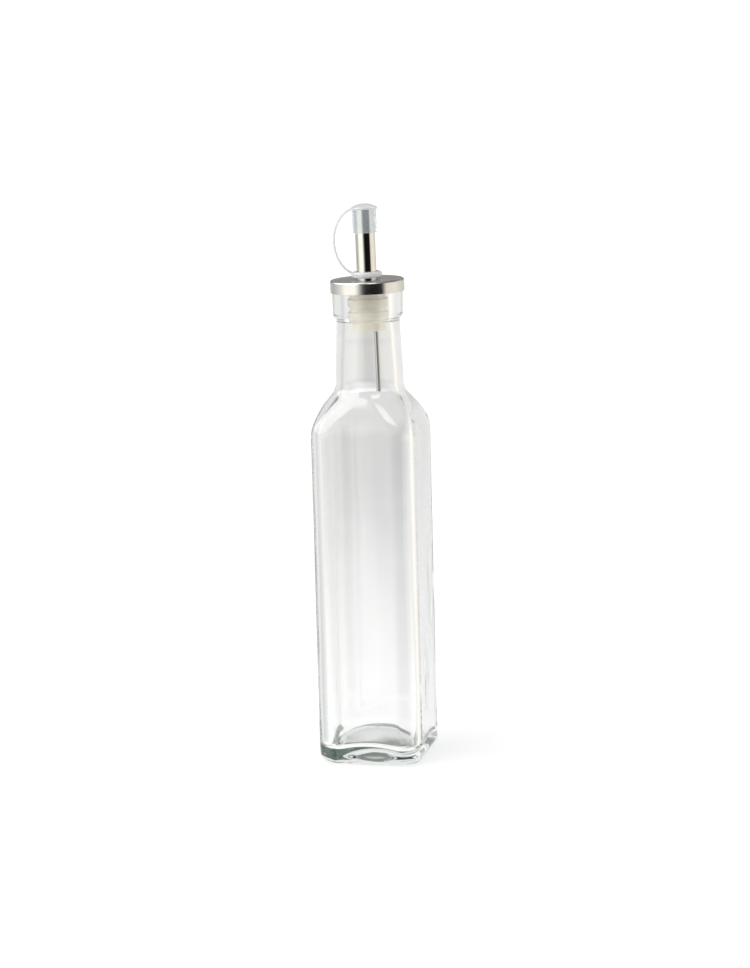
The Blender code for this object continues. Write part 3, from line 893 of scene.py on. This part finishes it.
def mirrored_room(tree, stage, through, angles, walls, backdrop):
    """Walls that blend into a table below, a ceiling above and a backdrop behind, with softboxes on them."""
    around, above = angles
    away = add_node(tree, "Math", {0: around}, operation='ABSOLUTE')
    blends = []
    for value, (start, end) in ((away, BACK_BLEND), (above, TABLE_BLEND), (above, CEILING_BLEND)):
        blends.append(add_node(tree, "MapRange", {
            "Value": value, "From Min": radians(start), "From Max": radians(end)},
            interpolation_type='SMOOTHSTEP'))
    behind, table, ceiling = blends
    levels = (TABLE_LEVEL, stage.ceiling, stage.softbox, stage.softbox_inside)
    table_white, ceiling_white, outside, inside = [linear("#ffffff", level) for level in levels]
    glow = add_node(tree, "Mix", {
        SHARE: through, FIRST: outside, SECOND: inside}, data_type='RGBA').outputs[MIXED]
    room = walls
    for share, colour in ((table, table_white), (ceiling, ceiling_white), (behind, backdrop)):
        room = add_node(tree, "Mix", {
            SHARE: share, FIRST: room, SECOND: colour}, data_type='RGBA').outputs[MIXED]
    for place_round, place_above, half_width, half_height in SOFTBOXES:
        lit = 1.0
        for value, place, half in ((around, place_round, half_width), (above, place_above, half_height)):
            off = add_node(tree, "Math", {
                0: value, 1: radians(place)}, operation='SUBTRACT')
            far = add_node(tree, "Math", {0: off}, operation='ABSOLUTE')
            near = add_node(tree, "MapRange", {
                "Value": far, "From Min": radians(half), "From Max": radians(half - SOFTBOX_EDGE)},
                interpolation_type='SMOOTHSTEP')
            lit = add_node(tree, "Math", {0: lit, 1: near}, operation='MULTIPLY')
        room = add_node(tree, "Mix", {
            SHARE: lit, FIRST: room, SECOND: glow}, data_type='RGBA').outputs[MIXED]
    return room


def add_world(stage):
    """Plain white for the camera and the floor; gloss and glass see a room that changes with direction."""
    world = bpy.data.worlds.new("studio")
    bpy.context.scene.world = world
    world.use_nodes = True
    world.cycles.sampling_method = 'NONE'
    tree = world.node_tree
    tree.nodes.clear()
    path = add_node(tree, "LightPath").outputs
    through = path["Is Transmission Ray"]
    angles = room_angles(tree, stage)
    walls, backdrop, backdrop_inside, clear_above, clear_round = room_colours(tree, *angles)
    backdrop = add_node(tree, "Mix", {
        SHARE: through, FIRST: backdrop, SECOND: backdrop_inside}, data_type='RGBA').outputs[MIXED]
    mirrored = mirrored_room(tree, stage, through, angles, walls, backdrop)
    clear = add_node(tree, "Mix", {
        SHARE: 1.0, FIRST: clear_above, SECOND: clear_round},
        data_type='RGBA', blend_type='MULTIPLY').outputs[MIXED]
    room = add_node(tree, "Mix", {
        SHARE: path["Glossy Depth"], FIRST: clear, SECOND: mirrored}, data_type='RGBA').outputs[MIXED]
    plain = add_node(tree, "Math", {
        0: path["Is Camera Ray"], 1: path["Is Diffuse Ray"]}, operation='MAXIMUM')
    white = add_node(tree, "Mix", {
        SHARE: path["Is Camera Ray"], FIRST: linear("#ffffff", stage.ambient),
        SECOND: linear("#ffffff", CAMERA_WHITE)}, data_type='RGBA').outputs[MIXED]
    colour = add_node(tree, "Mix", {
        SHARE: plain, FIRST: room, SECOND: white}, data_type='RGBA').outputs[MIXED]
    background = add_node(tree, "Background", {"Color": colour})
    output = add_node(tree, "OutputWorld")
    tree.links.new(background.outputs[0], output.inputs["Surface"])


def add_floor(stage):
    """A plain pale floor. Glass and gloss see the table in the world instead, so it hides from them."""
    half = stage.floor_size / 2
    corners = [(-half, -half, 0), (half, -half, 0), (half, half, 0), (-half, half, 0)]
    mesh = bpy.data.meshes.new("floor")
    mesh.from_pydata(corners, [], [(0, 1, 2, 3)])
    material, tree, output = new_material("white paper floor")
    shader = add_node(tree, "BsdfDiffuse", {"Color": linear("#f4f4f4")})
    tree.links.new(shader.outputs[0], output.inputs["Surface"])
    mesh.materials.append(material)
    floor = add_object("floor", mesh)
    floor.location.z = -FLOOR_GAP
    floor.visible_glossy = False
    floor.visible_transmission = False


def add_key_light(stage):
    """A broad key light that only the floor and dull surfaces take, for the shadow beside the foot."""
    data = bpy.data.lights.new("key_light", 'SUN')
    data.energy = stage.key
    data.angle = KEY_WIDTH
    key = add_object("key_light", data)
    place = toward(stage, *KEY_PLACE) * KEY_DISTANCE
    aim = (KEY_AIM - place).to_track_quat('-Z', 'Y')
    key.matrix_world = Matrix.Translation(place) @ aim.to_matrix().to_4x4()
    key.visible_glossy = False
    key.visible_transmission = False


class OILBOTTLE_OT_glass(bpy.types.Operator):
    """Makes the blown glass bottle"""
    bl_idname = "oilbottle.glass"
    bl_label = "Glass bottle"

    def execute(self, context):
        glass = settings()[0]
        dress(glass_mesh(glass), "bottle_glass", "glass_bottle", [flint_glass(glass)])
        return {'FINISHED'}


class OILBOTTLE_OT_steel(bpy.types.Operator):
    """Makes the steel collar, spout and vent tube"""
    bl_idname = "oilbottle.steel"
    bl_label = "Collar, spout and vent tube"

    def execute(self, context):
        pourer = settings()[1]
        polished = steel("polished stainless steel", "#d3d0c9", (0.03, 0.07), 3 * MM, (1, 1, 1))
        satin = steel("satin stainless steel", "#cdcbc6", (0.14, 0.20), 4 * MM, (1, 1, 40))
        brushed = steel("brushed stainless steel", "#b4b4b2", (0.13, 0.19), 2 * MM, (1, 1, 1), 0.8)
        mesh = collar_mesh(pourer)
        dress(mesh, "steel_collar", "metal_collar", [brushed, satin])
        mesh.polygons.foreach_set("material_index", skirt_faces(mesh, pourer).astype(np.int32))
        dress(spout_mesh(pourer), "spout_pipe", "spout_tube", [polished])
        drawn = steel("drawn stainless steel", "#cdcbc6", (0.32, 0.42), 2 * MM, (1, 1, 1))
        dress(vent_mesh(pourer), "vent_pipe", "vent_tube", [drawn])
        return {'FINISHED'}


class OILBOTTLE_OT_stopper(bpy.types.Operator):
    """Makes the ribbed plastic plug"""
    bl_idname = "oilbottle.stopper"
    bl_label = "Stopper"

    def execute(self, context):
        pourer, stopper = settings()[1:3]
        mesh = stopper_mesh(stopper, pourer)
        mesh.set_sharp_from_angle(angle=STOPPER_EDGE)
        plain = linear(stopper.colour)
        milky = polyethylene(
            "natural polyethylene", [(0.3, linear(stopper.colour, 0.92)), (0.7, plain)],
            shadow=linear(stopper.colour, level=0.7), scattered=plain, clearness=0.50, gloss=(0.26, 0.34),
            flow_size=6 * MM, detail=1.0)
        dress(mesh, "pourer_stopper", "stopper", [milky])
        return {'FINISHED'}


class OILBOTTLE_OT_cap(bpy.types.Operator):
    """Makes the soft cap with its strap and ring, moulded in one"""
    bl_idname = "oilbottle.cap"
    bl_label = "Cap, strap and ring"

    def execute(self, context):
        pourer, cap = settings()[1], settings()[3]
        mesh = fused(cap_mesh(cap, pourer), strap_mesh(cap), ring_mesh(cap, pourer))
        if not mesh.polygons:
            raise RuntimeError("the cap, strap and ring did not fuse")
        soft = dict(shadow=linear(cap.colour, 0.85), scattered=linear(cap.colour), gloss=(0.03, 0.10),
                    flow_size=1.8 * MM, detail=3.0)
        thin = polyethylene("clear soft polyethylene", linear(cap.thin_colour), clearness=0.87, **soft)
        thick = polyethylene("hazy soft polyethylene", linear(cap.colour, level=0.78), clearness=0.35, **soft)
        dress(mesh, "spout_cap_moulding", "spout_cap", [thin, thick])
        mesh.polygons.foreach_set("material_index", (~wall_faces(mesh, cap)).astype(np.int32))
        return {'FINISHED'}


class OILBOTTLE_OT_stage(bpy.types.Operator):
    """Makes the camera, the key light, the floor and the white all round"""
    bl_idname = "oilbottle.stage"
    bl_label = "Studio"

    def execute(self, context):
        stage = settings()[4]
        scene = bpy.context.scene
        scene.view_settings.view_transform = 'Standard'
        scene.cycles.max_bounces = stage.bounces
        scene.cycles.glossy_bounces = stage.bounces
        scene.cycles.transmission_bounces = stage.bounces
        add_camera(stage)
        add_world(stage)
        add_floor(stage)
        add_key_light(stage)
        return {'FINISHED'}


class OILBOTTLE_PT_panel(bpy.types.Panel):
    """Lists the pieces and their sizes"""
    bl_idname = "OILBOTTLE_PT_panel"
    bl_label = "Oil bottle"
    bl_space_type = 'VIEW_3D'
    bl_region_type = 'UI'
    bl_category = "Oil bottle"

    def draw(self, context):
        for operator in OPERATORS:
            self.layout.operator(operator.bl_idname)
        for group in settings():
            box = self.layout.box()
            for name in group.__annotations__:
                box.prop(group, name)


GROUPS = {
    "oil_glass": GlassSettings, "oil_pourer": PourerSettings, "oil_stopper": StopperSettings,
    "oil_cap": CapSettings, "oil_stage": StageSettings,
}
OPERATORS = (
    OILBOTTLE_OT_glass, OILBOTTLE_OT_steel, OILBOTTLE_OT_stopper, OILBOTTLE_OT_cap, OILBOTTLE_OT_stage)


def register():
    """Registers the settings, the operators and the panel."""
    for name, group in GROUPS.items():
        bpy.utils.register_class(group)
        setattr(bpy.types.Scene, name, PointerProperty(type=group))
    for made in (*OPERATORS, OILBOTTLE_PT_panel):
        bpy.utils.register_class(made)


def unregister():
    """Takes them away again."""
    for made in reversed((*OPERATORS, OILBOTTLE_PT_panel)):
        bpy.utils.unregister_class(made)
    for name, group in GROUPS.items():
        delattr(bpy.types.Scene, name)
        bpy.utils.unregister_class(group)


def main():
    """Makes every piece and the studio."""
    register()
    for operator in OPERATORS:
        area, name = operator.bl_idname.split(".")
        getattr(getattr(bpy.ops, area), name)()


if __name__ == "__main__":
    main()
